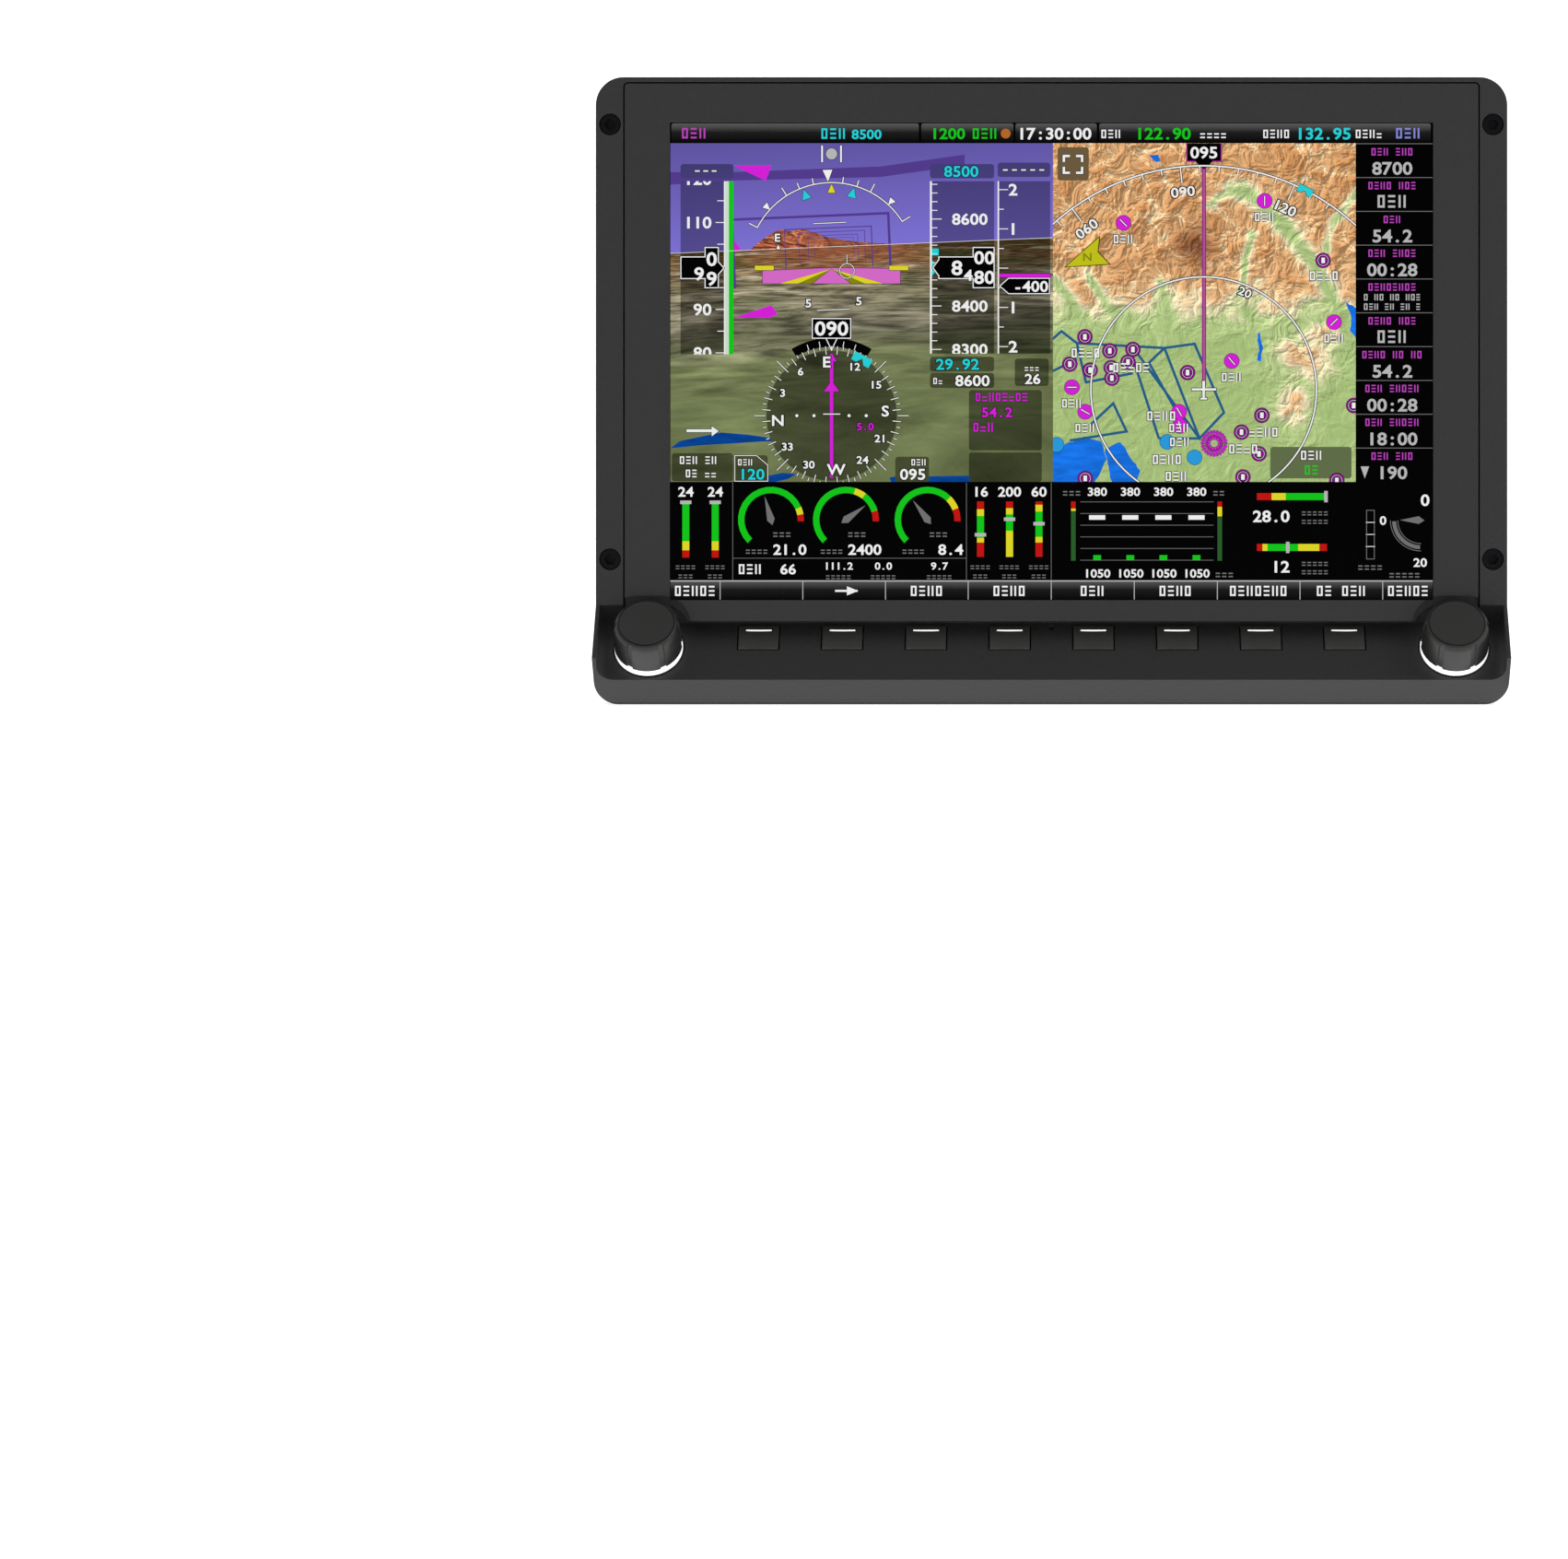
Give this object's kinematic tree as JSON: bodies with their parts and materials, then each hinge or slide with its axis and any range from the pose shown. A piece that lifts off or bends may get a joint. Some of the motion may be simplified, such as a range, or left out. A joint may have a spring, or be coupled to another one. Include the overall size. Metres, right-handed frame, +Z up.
{
  "type": "aviation gps display",
  "caption": "Panel-mounted flight display with a moving-map screen, a sloped ledge of keys and a tilting, turning knob at each end.",
  "frame": {"origin": "centre of the four mounting screws, on the bezel's rear mounting face", "axes": "+X right as the pilot sees it, +Y back into the instrument panel, +Z up; the screen faces -Y"},
  "size_m": [0.2602, 0.0906, 0.179],
  "materials": {
    "bezel_coat": "fine-textured dark grey enamel",
    "panel_coat": "smooth satin dark grey enamel",
    "knob_plastic": "satin moulded plastic",
    "key_plastic": "satin moulded plastic",
    "white_light": "translucent white, lit from inside",
    "screen_glass": "optically bonded, anti-reflective",
    "steel_black": "black oxide",
    "steel": "zinc plated",
    "stainless": "machined",
    "housing_metal": "chromate-free grey conversion coat",
    "tray_metal": "brushed",
    "sink_metal": "black anodised",
    "display_metal": "module frame",
    "board_green": "solder mask on glass-fibre laminate",
    "silicone": "matt silicone",
    "fan_plastic": "moulded",
    "connector_metal": "nickel plated",
    "ribbon_film": "polyimide film",
    "gold_brass": "gold plated",
    "clear_pipe": "smoked clear light pipe"
  },
  "bodies": {
    "root": {"antenna_jack": "gold_brass", "aux_connectors": "connector_metal", "backlight_unit": "display_metal", "bezel": "bezel_coat", "board_screws": "steel", "board_standoffs": "steel", "chassis_screws": "steel", "control_board": "board_green", "control_board_screws": "steel", "control_ribbon": "ribbon_film", "cover_glass": "screen_glass", "cover_screws": "steel", "display_carrier": "tray_metal", "display_panel": "panel_coat", "display_ribbon": "ribbon_film", "fan_frame": "fan_plastic", "fan_screws": "steel", "heat_sink": "sink_metal", "jackscrews": "steel", "keypad_membrane": "silicone", "lcd_module": "display_metal", "left_joystick_housing": "fan_plastic", "lower_cover": "bezel_coat", "main_board": "board_green", "main_connector": "connector_metal", "mounting_screws": "steel_black", "network_jack": "connector_metal", "rear_housing": "housing_metal", "right_joystick_housing": "fan_plastic", "sensor_window": "clear_pipe", "usb_ports": "connector_metal"},
    "key_1": {"button_1": "key_plastic", "marker_1": "white_light"},
    "key_2": {"button_2": "key_plastic", "marker_2": "white_light"},
    "key_3": {"button_3": "key_plastic", "marker_3": "white_light"},
    "key_4": {"button_4": "key_plastic", "marker_4": "white_light"},
    "key_5": {"button_5": "key_plastic", "marker_5": "white_light"},
    "key_6": {"button_6": "key_plastic", "marker_6": "white_light"},
    "key_7": {"button_7": "key_plastic", "marker_7": "white_light"},
    "key_8": {"button_8": "key_plastic", "marker_8": "white_light"},
    "left_rocker": {"left_rocker_ring": "stainless"},
    "left_hub": {"left_carrier_hub": "stainless"},
    "left_sleeve": {"left_push_sleeve": "stainless"},
    "left_dial": {"left_knob_shaft": "stainless", "left_knob": "knob_plastic", "left_light_ring": "white_light"},
    "right_rocker": {"right_rocker_ring": "stainless"},
    "right_hub": {"right_carrier_hub": "stainless"},
    "right_sleeve": {"right_push_sleeve": "stainless"},
    "right_dial": {"right_knob_shaft": "stainless", "right_knob": "knob_plastic", "right_light_ring": "white_light"},
    "fan": {"fan_rotor": "fan_plastic"}
  },
  "joints": [
    {"name": "key_1_push", "type": "slide", "parent": "root", "child": "key_1", "axis": [0, 0.766, -0.6428], "range_m": [0, 0.0008]},
    {"name": "key_2_push", "type": "slide", "parent": "root", "child": "key_2", "axis": [0, 0.766, -0.6428], "range_m": [0, 0.0008]},
    {"name": "key_3_push", "type": "slide", "parent": "root", "child": "key_3", "axis": [0, 0.766, -0.6428], "range_m": [0, 0.0008]},
    {"name": "key_4_push", "type": "slide", "parent": "root", "child": "key_4", "axis": [0, 0.766, -0.6428], "range_m": [0, 0.0008]},
    {"name": "key_5_push", "type": "slide", "parent": "root", "child": "key_5", "axis": [0, 0.766, -0.6428], "range_m": [0, 0.0008]},
    {"name": "key_6_push", "type": "slide", "parent": "root", "child": "key_6", "axis": [0, 0.766, -0.6428], "range_m": [0, 0.0008]},
    {"name": "key_7_push", "type": "slide", "parent": "root", "child": "key_7", "axis": [0, 0.766, -0.6428], "range_m": [0, 0.0008]},
    {"name": "key_8_push", "type": "slide", "parent": "root", "child": "key_8", "axis": [0, 0.766, -0.6428], "range_m": [0, 0.0008]},
    {"name": "left_knob_nod", "type": "hinge", "parent": "root", "child": "left_rocker", "pos_m": [-0.1149, -0.0125, -0.08855], "axis": [1, 0, 0], "range_deg": [-4, 4]},
    {"name": "left_knob_sway", "type": "hinge", "parent": "left_rocker", "child": "left_hub", "pos_m": [-0.1149, -0.0125, -0.08855], "axis": [0, 0.6428, 0.766], "range_deg": [-4, 4]},
    {"name": "left_knob_push", "type": "slide", "parent": "left_hub", "child": "left_sleeve", "axis": [0, 0.766, -0.6428], "range_m": [0, 0.0008]},
    {"name": "left_knob_turn", "type": "hinge", "parent": "left_sleeve", "child": "left_dial", "pos_m": [-0.1149, -0.0125, -0.08855], "axis": [0, -0.766, 0.6428], "continuous": true},
    {"name": "right_knob_nod", "type": "hinge", "parent": "root", "child": "right_rocker", "pos_m": [0.1149, -0.0125, -0.08855], "axis": [1, 0, 0], "range_deg": [-4, 4]},
    {"name": "right_knob_sway", "type": "hinge", "parent": "right_rocker", "child": "right_hub", "pos_m": [0.1149, -0.0125, -0.08855], "axis": [0, 0.6428, 0.766], "range_deg": [-4, 4]},
    {"name": "right_knob_push", "type": "slide", "parent": "right_hub", "child": "right_sleeve", "axis": [0, 0.766, -0.6428], "range_m": [0, 0.0008]},
    {"name": "right_knob_turn", "type": "hinge", "parent": "right_sleeve", "child": "right_dial", "pos_m": [0.1149, -0.0125, -0.08855], "axis": [0, -0.766, 0.6428], "continuous": true},
    {"name": "fan_spin", "type": "hinge", "parent": "root", "child": "fan", "pos_m": [0.07, 0.0455, 0.022], "axis": [0, 1, 0], "continuous": true}
  ]
}
